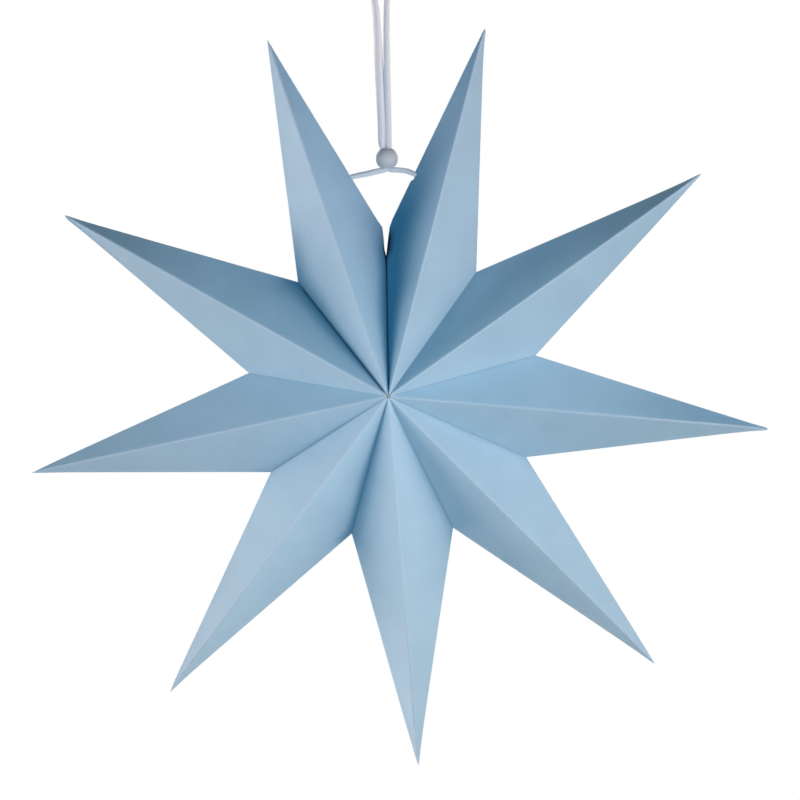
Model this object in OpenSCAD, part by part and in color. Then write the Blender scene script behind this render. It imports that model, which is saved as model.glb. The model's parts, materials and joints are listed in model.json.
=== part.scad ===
// Folded paper star on a cord loop.
//
// Nine hollow points stand round a spine that runs front to back along Y. Each point is two card
// leaves. A leaf is creased once along the star's outline, from the point's tip to the valley
// beside it, and its front and back panels slope away from that crease to the two ends of the
// spine. The ring of points is open at the top, where the cord draws its two ends together.
//
// Frame: millimetres, +Z up, the star's front faces -Y. The origin is inside the top of the cord
// loop, where a hook or nail carries it. Bearings are degrees clockwise from +Z, seen from the front.

/* [Star] */
// Tip to centre
star_r = 150; // [75:1:300]
// Number of points
points = 9; // [7:1:9]
// Centre to the valley between two points
valley_r = 59; // [50:0.5:64]
// Half of the star's depth at its spine
half_depth = 26; // [18:0.5:34]
// Angle between neighbouring points
pitch = 40.6; // [40:0.1:41]
// Angle between the first point and the second, which the cord pulls apart
first_pitch = 42.1; // [40:0.1:43]
// Lean of the star on its cord
lean = -0.9; // [-3:0.1:3]
// Thickness of the card
card = 0.4; // [0.3:0.05:0.5]

/* [Seam] */
// Centre to the corners of the two end leaves, on either side of the seam's mouth
seam_r = 66.8; // [62:0.1:70]
// Width of the seam at its mouth
mouth_w = 2.8; // [1.5:0.1:3.5]
// Length over which the mouth closes
mouth_l = 12; // [8:0.5:16]
// Gap between the two end leaves below the mouth
seam_gap = 0.3; // [0.2:0.05:0.5]
// Distance from the tip to the cord's hole, along the crease
hole_from_tip = 64; // [60:0.5:68]
// Diameter of the cord's holes
hole_d = 4; // [3:0.1:5]

/* [Cord and bead] */
// Diameter of the cord
cord_d = 2.2; // [2:0.05:2.3]
// Height of the cord loop's inside top above the star's centre
hang = 168; // [166:0.5:170]
// Diameter of the bead
bead_d = 9; // [8:0.1:10]
// Diameter of the bead's hole, which both strands run through
bore_d = 4.8; // [4.8:0.1:5]
// Diameter of the hole's flared lower mouth, where the strands part
flare_d = 7; // [6.8:0.1:7.2]
// Height of the bead's centre above the star's centre
bead_up = 94.2; // [94:0.1:95]
// Diameter of the knots that hold the cord's ends
knot_d = 4.6; // [3.5:0.1:5]

/* [Hidden] */
$fn = 48;

paper = "lightblue";
cord_white = "ghostwhite";
bead_grey = "lightsteelblue";

pin_d = 1.8;       // hole left at the spine, where all the leaves end
valley_gap = 0.03; // half of the glue line between neighbouring points
reach = 1.5 * star_r;

// Point 1 is left of the seam, and the others follow anticlockwise, seen from the front.
ring = (points - 2) * pitch + first_pitch;
seam_angle = 360 - ring;
function step_after(i) = i == 1 ? first_pitch : pitch;
function bearing(i) = i == 1 ? lean - seam_angle / 2 : bearing(i - 1) - step_after(i - 1);

// The leaf on each side of point i: where its valley or the seam is, and how far from the centre.
function is_seam(i, side) = (i == 1 && side == "right") || (i == points && side == "left");
function edge_bearing(i, side) =
    is_seam(i, side) ? lean
    : side == "left" ? bearing(i) - step_after(i) / 2
    : bearing(i) + step_after(i - 1) / 2;

function place(r, angle) = [r * sin(angle), r * cos(angle)];
function angle_of(v) = atan2(v[0], v[1]);

// Seen from the front, each tip, each inner corner, and the crease that joins them.
function tip(i) = place(star_r, bearing(i));
function corner(i, side) =
    is_seam(i, side) ? place(seam_r, lean) + place(mouth_w / 2, lean + (side == "left" ? 90 : -90))
    : place(valley_r, edge_bearing(i, side));
function along(i, side) = let (v = corner(i, side) - tip(i)) v / norm(v);
function inward(i, side) = let (a = along(i, side)) side == "left" ? [-a[1], a[0]] : [a[1], -a[0]];
function crease_to_spine(i, side) = abs(tip(i) * inward(i, side));
function slope(i, side) = atan2(half_depth, crease_to_spine(i, side));
function hole(i, side) = tip(i) + hole_from_tip * along(i, side);
function knot_at(i, side) = hole(i, side) + 1.4 * knot_d * inward(i, side);

// A wedge about the spine between two bearings, as deep as anything in the star.
module wedge(from, to) {
    rotate([90, 0, 0])
        linear_extrude(4 * half_depth, center = true)
            polygon([[0, 0], place(reach, from), place(reach, to)]);
}

// The bent sheet that a leaf is cut from: two panels that slope away from the crease.
module bent_sheet(i, side) {
    depth = 1.2 * half_depth;
    run = depth / tan(slope(i, side));
    fold = card / sin(slope(i, side));
    start = tip(i) - 20 * along(i, side);
    translate([start[0], 0, start[1]])
        rotate([0, angle_of(along(i, side)), 0])
            linear_extrude(2 * star_r)
                mirror([side == "left" ? 1 : 0, 0])
                    polygon([
                        [0, 0], [run, depth], [run + fold, depth],
                        [fold, 0], [run + fold, -depth], [run, -depth]
                    ]);
}

// The mouth of the seam, where the ends of the two end leaves curl apart.
module mouth() {
    half = mouth_w / 2;
    top = seam_r + 20;
    rotate([0, lean, 0])
        rotate([90, 0, 0])
            linear_extrude(4 * half_depth, center = true)
                polygon([
                    [-half, top], [-half, seam_r], [-0.8 * half, seam_r - 0.3 * mouth_l],
                    [-0.6 * half, seam_r - 0.7 * mouth_l], [0, seam_r - mouth_l],
                    [0.6 * half, seam_r - 0.7 * mouth_l], [0.8 * half, seam_r - 0.3 * mouth_l],
                    [half, seam_r], [half, top]
                ]);
}

module seam_slot() {
    rotate([0, lean, 0])
        translate([0, 0, reach / 2])
            cube([seam_gap, 4 * half_depth, reach], center = true);
}

module cord_hole(i, side) {
    at = hole(i, side);
    translate([at[0], 0, at[1]])
        rotate([0, angle_of(inward(i, side)), 0])
            cylinder(d = hole_d, h = 12, center = true);
}

module spine_hole() {
    rotate([90, 0, 0])
        cylinder(d = pin_d, h = 4 * half_depth, center = true);
}

module leaf(i, side) {
    other = edge_bearing(i, side) + (side == "left" ? 1 : -1) * atan2(valley_gap, valley_r);
    color(paper)
        translate([0, 0, -hang])
            difference() {
                intersection() {
                    bent_sheet(i, side);
                    wedge(bearing(i), is_seam(i, side) ? edge_bearing(i, side) : other);
                }
                spine_hole();
                if (is_seam(i, side)) {
                    mouth();
                    seam_slot();
                    cord_hole(i, side);
                }
            }
}

// The cord's middle line as [x, y, z], from the knot in point 1 over the hook to the last point.
// The strand goes behind the edge of point 1, and the top is a round turn over the hook.
loop_r = 4.2;
loop_z = cord_d / 2 - loop_r;
function flat(v, y = 0) = [v[0], y, v[1] - hang];
left_knot = flat(knot_at(1, "right"), 1);
right_knot = flat(knot_at(points, "left"));
left_hole = flat(hole(1, "right"), 0.9);
right_hole = flat(hole(points, "left"));
route = concat(
    [left_knot, (left_knot + left_hole) / 2, left_hole],
    [[-11, 0.4, -80.2], [-7.5, 0, -79.6], [-4.2, 0, -78.2], [-2.7, 0, -77.65], [-1.75, 0, -76.7]],
    [[-1.25, 0, -75.3], [-1.15, 0, -74], [-1.2, 0, -70], [-1.3, 0, -66], [-1.15, 0, -60], [-0.95, 0, -54]],
    [[-0.9, 0, -48], [-0.9, 0, -42], [-1, 0, -34], [-1.4, 0, -24], [-1.9, 0, -14], [-2.8, 0, -8]],
    [for (a = [-80:32:80]) [0, 0, loop_z] + loop_r * [sin(a), 0, cos(a)]],
    [[3.2, 0, -8], [2.6, 0, -14], [2.2, 0, -24], [1.7, 0, -34], [1.26, 0, -42], [1.25, 0, -48]],
    [[1.25, 0, -54], [1.15, 0, -60], [0.95, 0, -66], [1.05, 0, -70], [1.15, 0, -74], [1.25, 0, -75.3]],
    [[1.75, 0, -76.7], [2.7, 0, -77.65], [4.2, 0, -78.15], [6.6, 0, -78.8], [9, 0, -79.3]],
    [right_hole, (right_knot + right_hole) / 2, right_knot]
);

// A tube swept along a route.
function heading(path, k) =
    let (v = path[min(k + 1, len(path) - 1)] - path[max(k - 1, 0)]) v / norm(v);
function ring_at(path, k, r, sides) =
    let (h = heading(path, k), v = cross([0, 1, 0], h), across = v / norm(v), up = cross(h, across))
    [for (s = [0:sides - 1]) path[k] + r * (cos(360 * s / sides) * across + sin(360 * s / sides) * up)];

module tube(path, r, sides = 8) {
    last = len(path) - 1;
    polyhedron(
        points = [for (k = [0:last]) each ring_at(path, k, r, sides)],
        faces = concat(
            [[for (s = [sides - 1:-1:0]) s]],
            [for (k = [0:last - 1], s = [0:sides - 1])
                let (a = k * sides, t = (s + 1) % sides)
                [a + s, a + t, a + sides + t, a + sides + s]],
            [[for (s = [0:sides - 1]) last * sides + s]]
        )
    );
}

module cord() {
    color(cord_white) tube(route, cord_d / 2);
}

module knot(at) {
    color(cord_white)
        translate(at)
            sphere(d = knot_d);
}

flare_rim = -sqrt(pow(bead_d, 2) - pow(flare_d, 2)) / 2;
flare_top = flare_rim + 1.9;

module bead() {
    color(bead_grey)
        translate([0, 0, bead_up - hang])
            rotate_extrude()
                difference() {
                    circle(d = bead_d);
                    translate([-bead_d, -bead_d / 2]) square([bead_d + bore_d / 2, bead_d]);
                    polygon([
                        [0, flare_top], [bore_d / 2, flare_top], [flare_d / 2, flare_rim], [flare_d / 2, -bead_d],
                        [0, -bead_d]
                    ]);
                }
}

cord();
knot(left_knot);  // knot_left
knot(right_knot);  // knot_right
bead();
for (i = [1:points], side = ["left", "right"])
    leaf(i, side);
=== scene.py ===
import json
import math
import bpy
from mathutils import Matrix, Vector, noise


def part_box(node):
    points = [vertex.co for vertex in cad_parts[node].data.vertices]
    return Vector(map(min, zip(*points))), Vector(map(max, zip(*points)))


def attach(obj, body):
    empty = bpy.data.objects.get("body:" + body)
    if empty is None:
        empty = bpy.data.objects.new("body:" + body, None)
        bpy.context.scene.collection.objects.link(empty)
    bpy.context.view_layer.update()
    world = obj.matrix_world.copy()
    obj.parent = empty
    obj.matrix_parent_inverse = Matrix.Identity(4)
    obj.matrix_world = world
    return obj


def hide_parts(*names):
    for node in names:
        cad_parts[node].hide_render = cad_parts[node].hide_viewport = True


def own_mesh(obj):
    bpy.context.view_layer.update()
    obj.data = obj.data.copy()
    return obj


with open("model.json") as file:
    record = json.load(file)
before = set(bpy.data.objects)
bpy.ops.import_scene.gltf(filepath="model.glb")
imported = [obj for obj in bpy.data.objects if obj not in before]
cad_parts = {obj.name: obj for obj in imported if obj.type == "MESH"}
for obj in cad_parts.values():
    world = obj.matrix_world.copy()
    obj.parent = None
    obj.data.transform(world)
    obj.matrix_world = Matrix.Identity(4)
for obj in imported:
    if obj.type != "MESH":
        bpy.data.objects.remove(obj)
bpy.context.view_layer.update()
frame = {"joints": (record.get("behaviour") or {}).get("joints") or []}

# Lengths are in metres and angles in degrees, except where a comment says otherwise.
MM = 0.001

# ------------------------------------------------------------------ the star's sizes
# The star folds about its spine, so the joint's place is the star's centre.
fold_joint = [j for j in frame["joints"] if j["name"] == "fold"][0]
CENTRE = Vector(fold_joint["pos_m"])

# How far the tips, the valleys and the corners at the seam are from the spine.
STAR_R, VALLEY_R, SEAM_R = 0.150, 0.059, 0.0668

# Half the star's depth at its spine, and the thickness of its card.
DEPTH, CARD = 0.026, 0.0004

# How many points, the angle from one to the next, the angle between the first two, and the seam's lean.
POINTS, PITCH, FIRST_PITCH, LEAN = 9, 40.6, 42.1, -0.9

# The radius of the hole along the spine, and how steeply a leaf falls away from its ridge.
SPINE_HOLE, RIDGE_SLOPE = 0.0009, 0.8

# How far each leaf stands back from the middle of its valley, how far it bows out at the most, and the width
# from which on it does.
VALLEY_GAP, BOW, BOW_WIDTH = 0.000005, 0.00035, 0.02

# The rounding of a ridge and of the outline, and how far inside the outline the inner skin ends.
RIDGE_ROUND, OUTLINE_ROUND, OUTLINE_CARD = 0.00028, 0.0003, 0.00062

# The cosine of a leaf's tilt, and how far from the tip its inside ends.
TILT_COSINE, SOLID_TIP = 0.77, 0.012

# How much of its width a tip loses as it closes, and with what power of the distance.
TIP_CLOSING, TIP_POWER = 0.75, 2.2

# The seam is a hair's gap that opens to a mouth: half the mouth's width at its corners, and the radius
# where it begins. Then half the gap, what the mouth's round end and the flare at its rim add to that, and
# the power that makes the end round.
MOUTH_HALF, MOUTH_LOW = 0.0014, 0.0551
SEAM_GAP, MOUTH_END, MOUTH_FLARE, MOUTH_ROUND = 0.00006, 0.00115, 0.00023, 0.38

# The cord's holes in the outlines of points 1 and 9: how far they are from the tip, half their length,
# their depth, and the panels that they cut, where -1 is the front and 1 the back. A leaf's edge is open
# where its hole is deeper than the last number.
HOLE_FROM_TIP = {1: 0.064, POINTS: 0.0658}
HOLE_HALF = {1: 0.0019, POINTS: 0.0011}
HOLE_DEEP = {1: 0.0016, POINTS: 0.0008}
HOLE_PANELS = {1: (1,), POINTS: (-1, 1)}
HOLE_SEEN = 0.0002

# Each hand-folded tip, in millimetres: half its width on the left and on the right, the length over
# which it closes, how much longer it is than the others, how far it bends clockwise, and over what length.
TIPS = {
    1: (0.3, 0.3, 3.0, 0.6, 0.1, 20),
    2: (1.0, 0.45, 2.5, 0.9, 0.2, 12),
    3: (0.2, 0.2, 4.0, 0.9, -0.3, 20),
    4: (0.6, 0.6, 4.5, 1.3, -0.4, 12),
    5: (0.45, 0.4, 3.0, 0.4, -0.4, 30),
    6: (0.4, 0.5, 3.0, 0.4, 0.2, 20),
    7: (0.65, 0.65, 1.5, 0.2, 0.2, 20),
    8: (0.5, 0.5, 2.0, 0.7, -0.4, 30),
    9: (0.6, 0.6, 2.0, 0.1, 0.4, 20),
}

# ------------------------------------------------------------------ the card's painted light and shade
# Painted light and shade on each leaf's card: how much lighter or darker the whole leaf is painted, how dark
# painted shade makes it in the valley or seam beside it, and the fractions of its width where that painted
# shade begins, out at the valley's end and in near the spine, and is full.
LEAF_PAINTED_LIGHT = {
    (1, "left"): (1.08, 0.92, 0.55, 0.70, 1.12),
    (1, "right"): (1.08, 0.88, 0.70, 0.47, 1.00),
    (2, "left"): (1.00, 0.10, 0.90, 0.90, 1.05),
    (2, "right"): (1.02, 0.80, 0.62, 0.50, 1.00),
    (3, "left"): (1.08, 0.50, 0.85, 0.80, 1.05),
    (3, "right"): (1.08, 0.10, 0.90, 0.90, 1.05),
    (4, "left"): (1.15, 0.85, 0.78, 0.68, 1.00),
    (4, "right"): (1.07, 0.15, 0.90, 0.90, 1.05),
    (5, "left"): (1.10, 0.40, 0.85, 0.80, 1.02),
    (5, "right"): (1.15, 0.65, 0.58, 0.60, 1.05),
    (6, "left"): (1.09, 0.30, 0.88, 0.80, 1.02),
    (6, "right"): (1.12, 0.20, 0.30, 0.30, 0.70),
    (7, "left"): (1.20, 0.10, 0.92, 0.92, 1.05),
    (7, "right"): (1.08, 0.05, 0.90, 0.90, 1.05),
    (8, "left"): (1.01, 0.22, 0.70, 0.30, 1.05),
    (8, "right"): (1.02, 0.05, 0.90, 0.90, 1.05),
    (9, "left"): (1.14, 1.00, -0.10, 0.22, 0.78),
    (9, "right"): (0.98, 0.00, 0.90, 0.90, 1.05),
}

# Between these distances from the spine the darkening's beginning moves from its inner to its outer place.
INNER_SHADE, OUTER_SHADE = 0.030, 0.048

# The darkening ends between these distances past the leaf's corner.
SHADE_END = {(1, "left"): (0.0, 0.030), (1, "right"): (-0.016, 0.012), (9, "left"): (0.0, 0.055)}
PLAIN_SHADE_END = (0.0, 0.010)

# Painted shade: how much darker, and how much bluer, some leaves are painted towards their tips, for the
# shade where they curl out of the light.
TIP_PAINTED_SHADE = {
    (1, "right"): (0.0, 0.30),
    (2, "right"): (0.30, 0.05),
    (3, "right"): (0.0, 0.28),
    (7, "left"): (0.0, 0.50),
    (8, "left"): (0.26, 0.05),
    (9, "left"): (0.0, 0.50),
}

# How far from the spine the tips begin to get darker and bluer, and where they are fully so.
TIP_DARK_FROM, TIP_BLUE_FROM, TIP_TONE_FULL = 0.080, 0.060, 0.148

# Painted shade: the even blue cast painted on the two leaves that stand in each other's shade at the seam.
SEAM_PAINTED_SHADE = {(1, "right"): 0.13, (9, "left"): 0.20}

# A painted line of shadow in each valley: how dark it is, and how wide in millimetres.
VALLEY_PAINTED_SHADOWS = {
    (1, "left"): (0.35, 0.7),
    (1, "right"): (0.3, 0.5),
    (2, "left"): (0.0, 0.5),
    (2, "right"): (0.7, 1.1),
    (3, "right"): (0.0, 0.5),
    (8, "left"): (0.0, 0.5),
    (9, "left"): (0.9, 0.6),
    (9, "right"): (0.0, 0.5),
}
PLAIN_PAINTED_SHADOW = (0.12, 0.6)

# The line begins between these distances from the spine, and ends this far before the leaf's corner.
SHADOW_LINE_FROM, SHADOW_LINE_FULL, SHADOW_LINE_END = 0.0012, 0.004, 0.001

# On the right side of the mouth the painted shadow line gets darker, and wider by so many millimetres,
# between these distances from the spine.
MOUTH_PAINTED_SHADOW = {(9, "left"): (0.2, 1.6)}
MOUTH_DARKER_AT, MOUTH_WIDER_AT = (0.048, 0.053), (0.050, 0.055)


# ------------------------------------------------------------------ small tools
def smooth(a, b, x):
    """Rises smoothly from 0 at a to 1 at b."""
    t = min(max((x - a) / (b - a), 0), 1)
    return t * t * (3 - 2 * t)


def direction(azimuth, elevation):
    """A unit vector, from an azimuth measured from the front towards +X and an elevation."""
    a, e = math.radians(azimuth), math.radians(elevation)
    return Vector((math.sin(a) * math.cos(e), -math.cos(a) * math.cos(e), math.sin(e)))


def new_object(name, data):
    obj = bpy.data.objects.new(name, data)
    bpy.context.scene.collection.objects.link(obj)
    return obj


def new_piece(name, verts, faces, material, sharp=None, attributes=None):
    """A smooth-shaded mesh object, with creases where its faces meet at more than the sharp angle."""
    mesh = bpy.data.meshes.new(name)
    mesh.from_pydata(verts, [], faces)
    for label, values in (attributes or {}).items():
        mesh.attributes.new(label, "FLOAT", "POINT").data.foreach_set("value", values)
    mesh.validate()
    for polygon in mesh.polygons:
        polygon.use_smooth = True
    if sharp:
        mesh.set_sharp_from_angle(angle=math.radians(sharp))
    mesh.materials.append(material)
    return new_object(name, mesh)


# ------------------------------------------------------------------ materials
def new_material(name, roughness, gloss=0.5):
    material = bpy.data.materials.new(name)
    material.use_nodes = True
    tree = material.node_tree
    bsdf = tree.nodes["Principled BSDF"]
    bsdf.inputs["Roughness"].default_value = roughness
    bsdf.inputs["Specular IOR Level"].default_value = gloss
    return material, tree, bsdf


def add_noise(tree, vector, scale, detail):
    node = tree.nodes.new("ShaderNodeTexNoise")
    node.inputs["Scale"].default_value = scale
    node.inputs["Detail"].default_value = detail
    tree.links.new(vector, node.inputs["Vector"])
    return node.outputs["Fac"]


def add_ramp(tree, factor, dark, pale, span=(0.0, 1.0)):
    """Colours from dark to pale, as the factor goes through the span."""
    ramp = tree.nodes.new("ShaderNodeValToRGB")
    for element, place, colour in zip(ramp.color_ramp.elements, span, (dark, pale)):
        element.position = place
        element.color = (*colour, 1)
    tree.links.new(factor, ramp.inputs["Fac"])
    return ramp.outputs["Color"]


def add_bump(tree, bsdf, height, strength, distance):
    bump = tree.nodes.new("ShaderNodeBump")
    bump.inputs["Strength"].default_value = strength
    bump.inputs["Distance"].default_value = distance
    tree.links.new(height, bump.inputs["Height"])
    tree.links.new(bump.outputs["Normal"], bsdf.inputs["Normal"])


def object_coordinates(tree):
    return tree.nodes.new("ShaderNodeTexCoord").outputs["Object"]


def paper_material():
    """Matt card with a fine grain. Its meshes say how much painted light and painted shade it gets, where its
    painted shadow line lies, and where its ridge is.
    """
    material, tree, bsdf = new_material("pale_blue_card", 0.62, 0.3)
    nodes, links = tree.nodes, tree.links
    coordinates = object_coordinates(tree)
    grain = add_noise(tree, coordinates, 2600, 5)
    cloud = add_noise(tree, coordinates, 60, 3)

    def attribute(name):
        node = nodes.new("ShaderNodeAttribute")
        node.attribute_name = name
        return node.outputs["Fac"]

    def blend(kind, factor, a, b):
        node = nodes.new("ShaderNodeMix")
        node.data_type = "RGBA"
        node.blend_type = kind
        links.new(factor, node.inputs["Factor"])
        links.new(a, node.inputs["A"])
        node.inputs["B"].default_value = (*b, 1)
        return node.outputs["Result"]

    texture = nodes.new("ShaderNodeMix")
    texture.inputs["Factor"].default_value = 0.5
    links.new(grain, texture.inputs["A"])
    links.new(cloud, texture.inputs["B"])
    tint = nodes.new("ShaderNodeMix")
    tint.data_type = "RGBA"
    tint.inputs["A"].default_value = (0.335, 0.480, 0.620, 1)
    tint.inputs["B"].default_value = (0.515, 0.675, 0.810, 1)
    links.new(texture.outputs["Result"], tint.inputs["Factor"])
    # The grained tint is scaled by each leaf's painted light.
    sheet = nodes.new("ShaderNodeVectorMath")
    sheet.operation = "SCALE"
    links.new(tint.outputs["Result"], sheet.inputs[0])
    links.new(attribute("light"), sheet.inputs["Scale"])

    # A pale line lies along the ridge, half as strong as it could be, and ends 0.8 mm from it.
    line = nodes.new("ShaderNodeMapRange")
    line.interpolation_type = "SMOOTHSTEP"
    line.inputs["From Min"].default_value = 0.25
    line.inputs["From Max"].default_value = 0.8
    line.inputs["To Min"].default_value = 0.5
    line.inputs["To Max"].default_value = 0.0
    links.new(attribute("ridge_mm"), line.inputs["Value"])
    pale_ridge, painted_blue_shade, painted_shadow_colour = (0.66, 0.73, 0.86), (0.12, 0.37, 0.50), (0.02, 0.06, 0.13)
    colour = blend("MIX", line.outputs[0], sheet.outputs[0], pale_ridge)
    # Painted shade tints the card blue, and the painted shadow line darkens it.
    colour = blend("MULTIPLY", attribute("shade"), colour, painted_blue_shade)
    colour = blend("MULTIPLY", attribute("painted_shadow_line"), colour, painted_shadow_colour)
    links.new(colour, bsdf.inputs["Base Color"])
    add_bump(tree, bsdf, grain, 0.5, 0.00008)
    return material


def cord_material():
    """Soft white cord, with fibres that follow its length."""
    material, tree, bsdf = new_material("soft_cord", 0.55, 0.15)
    uv = tree.nodes.new("ShaderNodeUVMap")
    uv.uv_map = "along"
    fibre = add_noise(tree, uv.outputs["UV"], 4, 4)
    colour = add_ramp(tree, fibre, (0.87, 0.82, 0.85), (0.95, 0.90, 0.93), (0.3, 0.7))
    tree.links.new(colour, bsdf.inputs["Base Color"])
    add_bump(tree, bsdf, fibre, 0.25, 0.00006)
    return material


def bead_material():
    """Matt grey-lilac plastic."""
    material, tree, bsdf = new_material("matte_bead", 0.5)
    spots = add_noise(tree, object_coordinates(tree), 700, 4)
    colour = add_ramp(tree, spots, (0.62, 0.59, 0.63), (0.71, 0.67, 0.71))
    tree.links.new(colour, bsdf.inputs["Base Color"])
    add_bump(tree, bsdf, spots, 0.3, 0.00005)
    return material


def glue_material():
    """Dried glue, dark and pale in flecks."""
    material, tree, bsdf = new_material("dried_glue", 0.4)
    flecks = add_noise(tree, object_coordinates(tree), 1500, 2)
    colour = add_ramp(tree, flecks, (0.14, 0.14, 0.15), (0.62, 0.61, 0.62))
    tree.links.new(colour, bsdf.inputs["Base Color"])
    return material


PAPER = paper_material()
GLUE = glue_material()
CORD = cord_material()
BEAD = bead_material()


# ------------------------------------------------------------------ where the points are
def step_after(i):
    return FIRST_PITCH if i == 1 else PITCH


BEARING = {1: LEAN - (360 - (POINTS - 2) * PITCH - FIRST_PITCH) / 2}
for i in range(2, POINTS + 1):
    BEARING[i] = BEARING[i - 1] - step_after(i - 1)


def is_seam(i, side):
    return (i, side) in ((1, "right"), (POINTS, "left"))


def spread(i, side):
    """The angle between a point's ridge and the valley or seam on that side of it."""
    if is_seam(i, side):
        return abs((LEAN - BEARING[i] + 180) % 360 - 180)
    return (step_after(i) if side == "left" else step_after(i - 1)) / 2


def seam_inset(r):
    """How far a seam leaf's free edge stands back from the seam, at radius r."""
    t = min(max((r - MOUTH_LOW) / (SEAM_R - MOUTH_LOW), 0), 1)
    last_fifth = max(0, 5 * t - 4)
    return SEAM_GAP + MOUTH_END * t ** MOUTH_ROUND + MOUTH_FLARE * last_fifth ** 2


def seam_shift(r):
    """How far the seam wanders from its straight line, towards +X, at radius r: it bends a little to the
    left between 50 and 65 mm, and to the right from 60 mm on."""
    r = r / MM
    left_bend = 0.25 * smooth(50, 56, r) * (1 - smooth(58, 65, r))
    right_bend = 0.3 * smooth(60, 66, r)
    return MM * (right_bend - left_bend)


def point_axes(i):
    """Point i's directions, along its ridge and to the right of it."""
    bearing = math.radians(BEARING[i])
    along = Vector((math.sin(bearing), 0, math.cos(bearing)))
    return along, Vector((math.cos(bearing), 0, -math.sin(bearing)))


def on_point(i, p, lat, y):
    """The place that is p out along point i's ridge, lat to its right and y to the back, on a point that is
    as long and as bent as its own tip makes it."""
    along, across = point_axes(i)
    longer, bend, bend_length = [x * MM for x in TIPS[i][3:]]
    t = max(0, (p - (STAR_R - bend_length)) / bend_length)
    far = p + longer * max(0, (p - 0.5 * STAR_R) / (0.5 * STAR_R))
    return CENTRE + along * far + across * (lat + bend * t * t) + Vector((0, y, 0))


# ------------------------------------------------------------------ card leaves
class Leaf:
    """The shape of one leaf, the part of point i on that side of its ridge.

    A place on it is given by p, its distance from the spine along the ridge, and lat, its distance
    from the ridge. A panel is -1 for the front and 1 for the back. A row is open where the two panels
    do not meet, and w is the width of a row from the ridge to the leaf's edge.
    """

    def __init__(self, i, side):
        self.i, self.side = i, side
        self.sign = 1 if side == "right" else -1
        self.delta = math.radians(spread(i, side))
        self.seam = is_seam(i, side)
        corner_r = SEAM_R if self.seam else VALLEY_R
        self.p_corner = corner_r * math.cos(self.delta)
        self.w_corner = corner_r * math.sin(self.delta)
        self.p_hole = None
        if self.seam:
            self.p_corner += MOUTH_HALF * math.sin(self.delta)
            self.w_corner -= MOUTH_HALF * math.cos(self.delta)
            outline = math.hypot(STAR_R - self.p_corner, self.w_corner)
            self.p_hole = STAR_R - HOLE_FROM_TIP[i] * (STAR_R - self.p_corner) / outline
        left, right, closing = [x * MM for x in TIPS[i][:3]]
        self.blunt = left if side == "left" else right
        self.closing = closing
        self.slope = DEPTH * (1 - self.p_corner / STAR_R) / self.w_corner
        # Each leaf has its own place in the noise.
        self.bow = BOW * noise.noise(Vector((i * 3.1, self.sign * 1.7, 0.4)))

    def rows(self):
        """The distances p of the mesh's rows, which are close together at the ends and at a hole."""
        inner_rows, outer_rows, hole_rows, hole_step, hole_reach = 15, 26, 12, 0.0002, 0.003
        rows = [SPINE_HOLE, 2 * SPINE_HOLE, 0.003]
        rows += [self.p_corner * k / inner_rows for k in range(1, inner_rows + 1)]
        rows += [self.p_corner + (STAR_R - self.p_corner) * k / outer_rows for k in range(1, outer_rows)]
        rows += [STAR_R - back for back in (0.0022, 0.0012, 0.0005, 0)]
        if self.p_hole:
            rows = [p for p in rows if abs(p - self.p_hole) > hole_reach]
            rows += [self.p_hole + hole_step * k for k in range(-hole_rows, hole_rows + 1)]
        return sorted(rows)

    def width(self, p, panel):
        if p <= self.p_corner:
            w = p * math.tan(self.delta)
            if not self.seam:
                return w - VALLEY_GAP
            r = math.hypot(p, w)
            return w - (seam_inset(r) - self.sign * seam_shift(r)) / math.cos(self.delta)
        w = math.hypot(self.w_corner * (STAR_R - p) / (STAR_R - self.p_corner), self.blunt)
        end = max((p - STAR_R + self.closing) / self.closing, 0)
        w *= 1 - TIP_CLOSING * end ** TIP_POWER
        if self.p_hole and panel in HOLE_PANELS[self.i]:
            w -= self.hole_depth(p)
        return w

    def hole_depth(self, p):
        x = (p - self.p_hole) / HOLE_HALF[self.i]
        return HOLE_DEEP[self.i] * math.sqrt(1 - x * x) if abs(x) < 1 else 0.0

    def is_open(self, p):
        before_corner = p < self.p_corner - 1e-7
        at_hole = self.p_hole and self.hole_depth(p) > HOLE_SEEN
        return bool(before_corner or at_hole)

    def plane(self, p, lat):
        """How far a flat panel stands from the star's middle plane."""
        return DEPTH * (1 - p / STAR_R) - self.slope * lat

    def outer(self, p, edge, w):
        """The outer skin at the distance edge from the leaf's edge, as lat and its height."""
        lat = w - edge
        d = self.plane(p, math.hypot(max(lat, 0), RIDGE_ROUND))
        d = math.hypot(max(d, 0), OUTLINE_ROUND)
        if not self.is_open(p):
            e = min(max(edge / OUTLINE_ROUND, 0), 1)
            d *= math.sqrt(1 - (1 - e) ** 2)
        q = lat / w if w > 0 else 0
        d += self.bow * 4 * q * (1 - q) * min(w / BOW_WIDTH, 1)
        return lat, d

    def inner(self, p, q, w):
        """The inner skin at the fraction q of its width, as lat and its height."""
        lowest, narrowest = 0.0001, 0.00005
        if self.is_open(p):
            return w * q, max(self.plane(p, w * q) - CARD / TILT_COSINE, lowest)
        lat = max(w - OUTLINE_CARD, narrowest) * q
        d = self.plane(p, lat) - CARD / TILT_COSINE
        return lat, 0.0 if q == 1 else max(d, 0.0)


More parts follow.
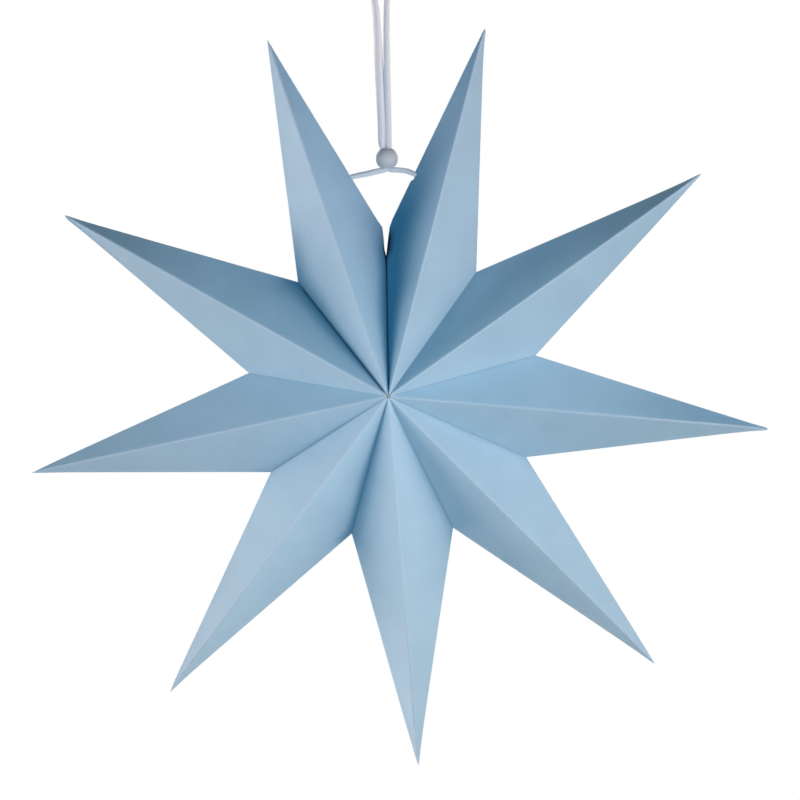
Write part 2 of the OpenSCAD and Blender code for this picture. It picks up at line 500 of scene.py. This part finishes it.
def leaf_tones(shape, p, lat, w):
    """What the card's material reads at one place of a leaf: its painted light, painted shade, painted shadow
    line and distance from the ridge.
    """
    key = (shape.i, shape.side)
    light, dark, start, inner_start, full = LEAF_PAINTED_LIGHT[key]
    # The leaf's painted light, darker towards some tips as painted shade.
    tip_dark, tip_blue = TIP_PAINTED_SHADE.get(key, (0.0, 0.0))
    light *= 1 - tip_dark * smooth(TIP_DARK_FROM, TIP_TONE_FULL, p)

    # Painted shade towards the valley or seam, with the even painted shade at the seam.
    low, top = SHADE_END.get(key, PLAIN_SHADE_END)
    fade = 1 - smooth(shape.p_corner + low, shape.p_corner + top, p)
    begin = inner_start + (start - inner_start) * smooth(INNER_SHADE, OUTER_SHADE, p)
    shaded = dark * fade * smooth(begin, full, lat / w if w > 0 else 1)
    clear = (1 - SEAM_PAINTED_SHADE.get(key, 0.0)) * (1 - tip_blue * smooth(TIP_BLUE_FROM, TIP_TONE_FULL, p))

    # The painted line of shadow along the valley or seam.
    painted_shadow_line, wide = VALLEY_PAINTED_SHADOWS.get(key, PLAIN_PAINTED_SHADOW)
    darker, wider = MOUTH_PAINTED_SHADOW.get(key, (0.0, 0.0))
    painted_shadow_line += darker * smooth(*MOUTH_DARKER_AT, p)
    wide += wider * smooth(*MOUTH_WIDER_AT, p)
    painted_shadow_line *= 1 - smooth(0.25 * wide, wide, (w - lat) / MM)
    painted_shadow_line *= smooth(SHADOW_LINE_FROM, SHADOW_LINE_FULL, p) * (1 - smooth(shape.p_corner - SHADOW_LINE_END, shape.p_corner, p))
    return {"ridge_mm": lat / MM, "shade": 1 - clear * (1 - shaded), "painted_shadow_line": painted_shadow_line, "light": light}


def outer_columns(w):
    """The distances from a leaf's edge of the outer skin's columns, which begin at its ridge."""
    near_ridge, near_edge, between = (0, 0.18, 0.4, 0.8), (0, 0.04, 0.12, 0.35, 0.8, 1.3), 8
    scale = min(1, w / (3 * MM)) * MM
    columns = [w - x * scale for x in near_ridge]
    first, last = columns[-1], near_edge[-1] * scale
    columns += [first + (last - first) * k / between for k in range(1, between)]
    return columns + [x * scale for x in reversed(near_edge)]


def add_face(faces, corners, flip):
    """Adds a face without its repeated corners, and turned over where flip is true."""
    corners = [v for k, v in enumerate(corners) if v != corners[k - 1]]
    if len(corners) > 2:
        faces.append(corners[::-1] if flip else corners)


def leaf_faces(shape, rows, out, inn):
    """The faces between the rows of vertices of the outer and the inner skins of both panels."""
    faces = []
    last_in = len(inn[1]) - 1
    for panel in (-1, 1):
        flip = panel * shape.sign > 0
        o, n = out[panel], inn[panel]
        for k in range(len(rows) - 1):
            for j in range(len(o[k]) - 1):
                add_face(faces, [o[k][j], o[k][j + 1], o[k + 1][j + 1], o[k + 1][j]], flip)
            if k < last_in:
                for j in range(2):
                    add_face(faces, [n[k][j], n[k][j + 1], n[k + 1][j + 1], n[k + 1][j]], not flip)
                add_face(faces, [o[k][0], o[k + 1][0], n[k + 1][0], n[k][0]], flip)
                if shape.is_open(rows[k]) or shape.is_open(rows[k + 1]):
                    add_face(faces, [o[k][-1], o[k + 1][-1], n[k + 1][-1], n[k][-1]], not flip)
        add_face(faces, o[0] + n[0][::-1], not flip)

    # Near the tip there is no inside, and the front and the back are joined along the ridge.
    flip = shape.sign > 0
    f, b, f_in, b_in = out[-1], out[1], inn[-1][-1], inn[1][-1]
    for k in range(last_in + 1, len(rows) - 1):
        add_face(faces, [f[k][0], b[k][0], b[k + 1][0], f[k + 1][0]], flip)
    k = last_in
    add_face(faces, [f[k][0], f_in[0], b_in[0], b[k][0], b[k + 1][0], f[k + 1][0]], flip)
    for j in range(len(f[-1]) - 1):
        add_face(faces, [f[-1][j], b[-1][j], b[-1][j + 1], f[-1][j + 1]], flip)
    for j in range(2):
        add_face(faces, [f_in[j], f_in[j + 1], b_in[j + 1], b_in[j]], flip)
    return faces


def leaf(i, side):
    """A leaf as a thin closed shell, whose two panels share their vertices where they meet."""
    shape = Leaf(i, side)
    rows = shape.rows()
    verts, tones = [], {"ridge_mm": [], "shade": [], "painted_shadow_line": [], "light": []}
    out, inn = {-1: [], 1: []}, {-1: [], 1: []}

    def add(p, panel, w, lat, d):
        verts.append(on_point(i, p, shape.sign * lat, panel * d))
        for label, value in leaf_tones(shape, p, lat, w).items():
            tones[label].append(value)
        return len(verts) - 1

    for k, p in enumerate(rows):
        for panel in (-1, 1):
            w = shape.width(p, panel)
            meets_front = panel == 1 and not shape.is_open(p)
            row = []
            for edge in outer_columns(w):
                shared = meets_front and edge == 0
                row.append(out[-1][k][-1] if shared else add(p, panel, w, *shape.outer(p, edge, w)))
            out[panel].append(row)
            if p < STAR_R - SOLID_TIP:
                row = []
                for q in (0, 0.5, 1):
                    shared = meets_front and q == 1
                    row.append(inn[-1][k][-1] if shared else add(p, panel, w, *shape.inner(p, q, w)))
                inn[panel].append(row)

    faces = leaf_faces(shape, rows, out, inn)
    obj = new_piece(f"leaf_{i}_{side}", verts, faces, PAPER, 38, tones)
    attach(obj, f"point_{i}")
    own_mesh(obj)
    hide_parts(f"point_{i}_{side}")


# ------------------------------------------------------------------ glued ridges and spine
def hem(i):
    """The glued hem where a point's two leaves meet: a narrow strip along the front and back ridges."""
    half_width, widening, slimmer, slim_from = 0.00042, 0.004, 0.6, 0.142
    deep, proud, lowest = 0.0035, 0.00002, 0.00005
    first, last, steps = SPINE_HOLE + 0.0003, STAR_R - 0.0012, 60

    # The strip's section: how far each corner is from the middle and down the ridge, as fractions.
    section = [(-1, 1), (-1, 0.1), (-0.8, 0.03), (0, 0), (0.8, 0.03), (1, 0.1), (1, 1)]
    places = [first + (last - first) * k / steps for k in range(steps + 1)]
    verts, faces, n = [], [], len(section)
    for panel in (-1, 1):
        for p in places:
            ridge = DEPTH * (1 - p / STAR_R) - RIDGE_SLOPE * RIDGE_ROUND
            top = math.hypot(max(ridge, 0), OUTLINE_ROUND) + proud
            half_w = min(half_width, widening * p) * (1 - slimmer * smooth(slim_from, STAR_R, p))
            for x, down in section:
                y = max(top - down * min(deep, top), 0.0 if down == 1 else lowest)
                verts.append(on_point(i, p, x * half_w, panel * y))
    for panel in range(2):
        flip = panel == 1
        base = panel * len(places) * n
        for k in range(steps):
            for j in range(n):
                a, b = base + k * n + j, base + k * n + (j + 1) % n
                add_face(faces, [a, b, b + n, a + n], flip)
        add_face(faces, [base + j for j in range(n)], not flip)
        add_face(faces, [base + steps * n + j for j in range(n)], flip)

    # The hems get even painted light, and no painted shade or painted shadow line.
    unshaded = {"ridge_mm": 0.0, "shade": 0.0, "painted_shadow_line": 0.0, "light": 1.0}
    tones = {label: [value] * len(verts) for label, value in unshaded.items()}
    obj = new_piece(f"hem_{i}", verts, faces, PAPER, 50, tones)
    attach(obj, f"point_{i}")


def tube(name, path, radii, sides, material):
    """A round tube along the path, with one radius for each of its places."""
    verts, faces, uvs, lengths = [], [], [], []
    start = path[1] - path[0]
    runs_back = abs(start.y) > abs(start.x) + abs(start.z)
    side = Vector((1, 0, 0)) if runs_back else Vector((0, 1, 0))
    run = 0.0
    for k, p in enumerate(path):
        ahead = (path[min(k + 1, len(path) - 1)] - path[max(k - 1, 0)]).normalized()
        side = (side - side.dot(ahead) * ahead).normalized()
        other = ahead.cross(side)
        run += (p - path[k - 1]).length if k else 0
        lengths.append(run / MM)
        for s in range(sides):
            a = 2 * math.pi * s / sides
            verts.append(p + radii[k] * (math.cos(a) * side + math.sin(a) * other))
    for k in range(len(path) - 1):
        for s in range(sides):
            t = (s + 1) % sides
            faces.append([k * sides + s, k * sides + t, (k + 1) * sides + t, (k + 1) * sides + s])
            u, v = (s / sides, (s + 1) / sides), (lengths[k], lengths[k + 1])
            uvs += [(u[0], v[0]), (u[1], v[0]), (u[1], v[1]), (u[0], v[1])]
    faces.append(list(range(sides))[::-1])
    faces.append([(len(path) - 1) * sides + s for s in range(sides)])
    uvs += [(0, 0)] * (2 * sides)
    obj = new_piece(name, verts, faces, material)
    layer = obj.data.uv_layers.new(name="along")
    for place, uv in zip(layer.data, uvs):
        place.uv = uv
    return obj


def glue_drop(name, side):
    """A drop of dried glue at one end of the spine, in the hole where all the ridges meet."""
    # How far out each ring stands from the end of the spine, and its radius, in millimetres.
    rings = ((0.1, 0.38), (0.02, 0.76), (-0.1, 0.92), (-0.25, 0.92), (-0.4, 0.84), (-0.8, 0.8), (-1.2, 0.4))
    path = [CENTRE + Vector((0, side * (DEPTH + out * MM), 0)) for out, _ in rings]
    obj = tube(name, path, [r * MM for _, r in rings], 16, GLUE)
    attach(obj, "point_1")


# How the soft cord looks along that route, with its radius as a fourth number: slack and full above the
# bead, and drawn thin through the bead and towards its ends.
LOOK_MM = [
    (-19.7, 1, -83.9, 0.95), (-16.9, 1, -82.4, 1), (-14.1, 0.9, -80.8, 1.05), (-11, 0.4, -80.1, 1.1),
    (-7.5, 0, -79.6, 1.15), (-4.2, 0, -78.9, 1.15), (-1.8, 0, -78.5, 1.12), (-0.1, 0, -78, 1.05),
    (-0.4, 0, -76, 1.05), (-0.5, 0, -74, 1.05), (-0.6, 0, -70.3, 1.1), (-1.1, 0, -68.4, 1.35),
    (-1.15, 0, -66, 1.55), (-1.05, 0, -60, 1.6), (-1.1, 0, -54, 1.65), (-1.15, 0, -48, 1.7),
    (-1.25, 0, -42, 1.75), (-1.35, 0, -34, 1.72), (-1.45, 0, -24, 1.6), (-1.8, 0, -14, 1.5),
    (-2.7, 0, -8, 1.35), (-4.14, 0, -2.4, 1.1), (-3.1, 0, -0.3, 1.1), (0, 0, 1.1, 1.1),
    (3.1, 0, -0.3, 1.1), (4.14, 0, -2.4, 1.1), (3.2, 0, -8, 1.15), (2.6, 0, -14, 1.2),
    (2.2, 0, -24, 1.3), (2, 0, -34, 1.35), (1.8, 0, -42, 1.4), (1.75, 0, -48, 1.4), (1.7, 0, -54, 1.35),
    (1.6, 0, -60, 1.32), (1.5, 0, -66, 1.3), (1.5, 0, -70, 1.15), (1.6, 0, -74, 1.05),
    (1.5, 0, -76, 1.05), (1.3, 0, -78, 1.05), (3, 0, -78.4, 1.08), (4.6, 0, -78.5, 1.08),
    (6.8, 0, -78.8, 1.05), (9, 0, -79.3, 1.05), (11.3, 0, -80.4, 1), (14.2, 0, -81.9, 0.95),
    (17, 0, -83.4, 0.95),
]


def smooth_path(points_mm, parts=5):
    """A Catmull-Rom curve through the points, with so many parts between each two, in metres."""
    points = [Vector(p) * MM for p in points_mm]
    path = []
    for k in range(len(points) - 1):
        p0, p1 = points[max(k - 1, 0)], points[k]
        p2, p3 = points[k + 1], points[min(k + 2, len(points) - 1)]
        for s in range(parts):
            t = s / parts
            path.append(0.5 * (2 * p1 + (p2 - p0) * t + (2 * p0 - 5 * p1 + 4 * p2 - p3) * t * t
                               + (3 * p1 - p0 - 3 * p2 + p3) * t ** 3))
    return path + [points[-1]]


def knot(node):
    """A small overhand knot in the place of one of the CAD's plain knots."""
    size, flatness, strand, steps = 0.00052, 0.8, 0.00095, 60
    low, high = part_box(node)
    middle = (low + high) / 2
    loop = []
    for k in range(steps + 1):
        t = 2 * math.pi * k / steps
        x = -flatness * math.sin(3 * t)
        y, z = math.sin(t) + 2 * math.sin(2 * t), math.cos(t) - 2 * math.cos(2 * t)
        loop.append(middle + size * Vector((x, y, z)))
    obj = tube(f"{node}_tied", loop, [strand] * len(loop), 10, CORD)
    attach(obj, "cord_loop")
    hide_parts(node)
    return obj


def bead():
    """A ball with a straight hole, turned from its outline."""
    bore, lip, to_the_right, to_the_rim = 0.00235, 0.04, 0.0006, 0.0038
    steps, sides, bevel = 32, 64, 0.0003
    low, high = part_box("bead")
    centre = Vector((to_the_right, 0, high.z - to_the_rim))
    r = (high.y - low.y) / 2
    end = math.acos(bore / r) - lip
    angles = [end * (2 * k / steps - 1) for k in range(steps + 1)]
    outline = [(r * math.cos(a), r * math.sin(a)) for a in angles]
    rim = r * math.sin(end) - bevel
    outline += [(bore, rim), (bore, 0), (bore, -rim)]
    verts, faces, n = [], [], len(outline)
    for s in range(sides):
        a = 2 * math.pi * s / sides
        for x, z in outline:
            verts.append(centre + Vector((x * math.cos(a), x * math.sin(a), z)))
    for s in range(sides):
        t = (s + 1) % sides
        for k in range(n):
            m = (k + 1) % n
            faces.append([s * n + k, t * n + k, t * n + m, s * n + m])
    obj = new_piece("round_bead", verts, faces, BEAD, 50)
    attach(obj, "bead")
    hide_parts("bead")


# ------------------------------------------------------------------ the pieces
look = smooth_path(LOOK_MM)
cord = tube("soft_cord", [Vector(p[:3]) for p in look], [p[3] for p in look], 14, CORD)
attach(cord, "cord_loop")
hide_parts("cord")
knots = [knot("knot_left"), knot("knot_right")]
bead()
glue_drop("glue_front", -1)
glue_drop("glue_back", 1)
for i in range(1, POINTS + 1):
    hem(i)
    for side in ("left", "right"):
        leaf(i, side)

# ------------------------------------------------------------------ camera
# The camera stands a little to the right of the front and above the star's centre, and is rolled
# clockwise. FIELD is the width of the picture at the star, and the picture's middle is TO_RIGHT and
# TO_BOTTOM away from the star's centre.
TURN, TILT, ROLL = 4.65, 2.6, math.radians(2.0)
DISTANCE, FIELD, SENSOR_MM = 1.5, 0.3212, 36
TO_RIGHT, TO_BOTTOM = 0.00256, 0.00263

view_dir = direction(TURN, TILT)
level = (-view_dir).cross(Vector((0, 0, 1))).normalized()
upright = level.cross(-view_dir)
right = math.cos(ROLL) * level - math.sin(ROLL) * upright
up = math.sin(ROLL) * level + math.cos(ROLL) * upright
place = CENTRE + DISTANCE * view_dir + TO_RIGHT * right - TO_BOTTOM * up
camera = new_object("camera", bpy.data.cameras.new("camera"))
camera.data.sensor_width = SENSOR_MM
camera.data.lens = SENSOR_MM * DISTANCE / FIELD
matrix = camera.matrix_world.copy()
for column, axis in enumerate((right, up, view_dir, place)):
    for row in range(3):
        matrix[row][column] = axis[row]
camera.matrix_world = matrix
bpy.context.scene.camera = camera
bpy.context.scene.view_settings.view_transform = "Standard"

# ------------------------------------------------------------------ floor and light
# The floor glows evenly, and throws no light on the star.
bpy.ops.mesh.primitive_plane_add(size=8.0, location=(0, 0, -1.0))
floor = bpy.context.object
floor.name = "floor"
floor_material, _, floor_bsdf = new_material("pale_floor", 0.9)
floor_bsdf.inputs["Base Color"].default_value = (0.82, 0.82, 0.82, 1)
floor_bsdf.inputs["Emission Color"].default_value = (1, 1, 1, 1)
floor_bsdf.inputs["Emission Strength"].default_value = 1.0
floor_material.cycles.emission_sampling = "NONE"
floor.visible_diffuse = False
floor.visible_glossy = False
floor.data.materials.append(floor_material)

# The world is white where the camera sees it, and gives no light of its own.
world = bpy.data.worlds.new("studio")
bpy.context.scene.world = world
world.use_nodes = True
nodes, links = world.node_tree.nodes, world.node_tree.links
seen = nodes.new("ShaderNodeBackground")
seen.inputs["Color"].default_value = (1, 1, 1, 1)
seen.inputs["Strength"].default_value = 1.0
unlit = nodes["Background"]
unlit.inputs["Color"].default_value = (1, 1, 1, 1)
unlit.inputs["Strength"].default_value = 0.0
light_path = nodes.new("ShaderNodeLightPath")
mix = nodes.new("ShaderNodeMixShader")
links.new(light_path.outputs["Is Camera Ray"], mix.inputs["Fac"])
links.new(unlit.outputs[0], mix.inputs[1])
links.new(seen.outputs[0], mix.inputs[2])
links.new(mix.outputs[0], nodes["World Output"].inputs["Surface"])


def aim_light(data, at, toward, distance):
    """Puts a light at a distance from a place, in the given direction from it, and aims it there."""
    lamp = new_object(data.name, data)
    lamp.location = at + distance * toward
    lamp.rotation_euler = toward.to_track_quat("Z", "Y").to_euler()


def softbox(name, azimuth, elevation, distance, size, watts):
    """A square light aimed at the star, with its power in watts for red, green and blue."""
    data = bpy.data.lights.new(name, "AREA")
    data.size = size
    data.energy = max(watts)
    data.color = [c / max(watts) for c in watts]
    aim_light(data, CENTRE, direction(azimuth, elevation), distance)


def cord_light():
    """A narrow light from above the front, which picks out the pale cord and the bead."""
    above_centre, distance = 0.121, 0.6
    data = bpy.data.lights.new("cord_light", "SPOT")
    data.energy = 7.5
    data.color = (1.0, 0.60, 0.66)
    data.spot_size = math.radians(5.6)
    data.spot_blend = 0.25
    data.shadow_soft_size = 0.06
    aim_light(data, CENTRE + Vector((0, 0, above_centre)), direction(-6, 42), distance)


softbox("left_light", -88, 0, 0.9, 0.5, (7.0, 5.9, 5.3))
softbox("right_light", 70, 0, 0.9, 0.5, (5.2, 4.65, 4.3))
softbox("low_front_light", 0, -20, 0.4, 0.3, (0.58, 0.48, 0.35))
softbox("front_light", 0, 0, 0.4, 0.3, (0.06, 0.45, 0.72))
softbox("low_left_light", -88, -65, 0.4, 0.3, (0.28, 0.2, 0.19))
softbox("back_left_light", -150, 15, 1.1, 0.6, (6, 6, 6))
softbox("back_right_light", 150, 15, 1.1, 0.6, (5, 5, 5))
cord_light()
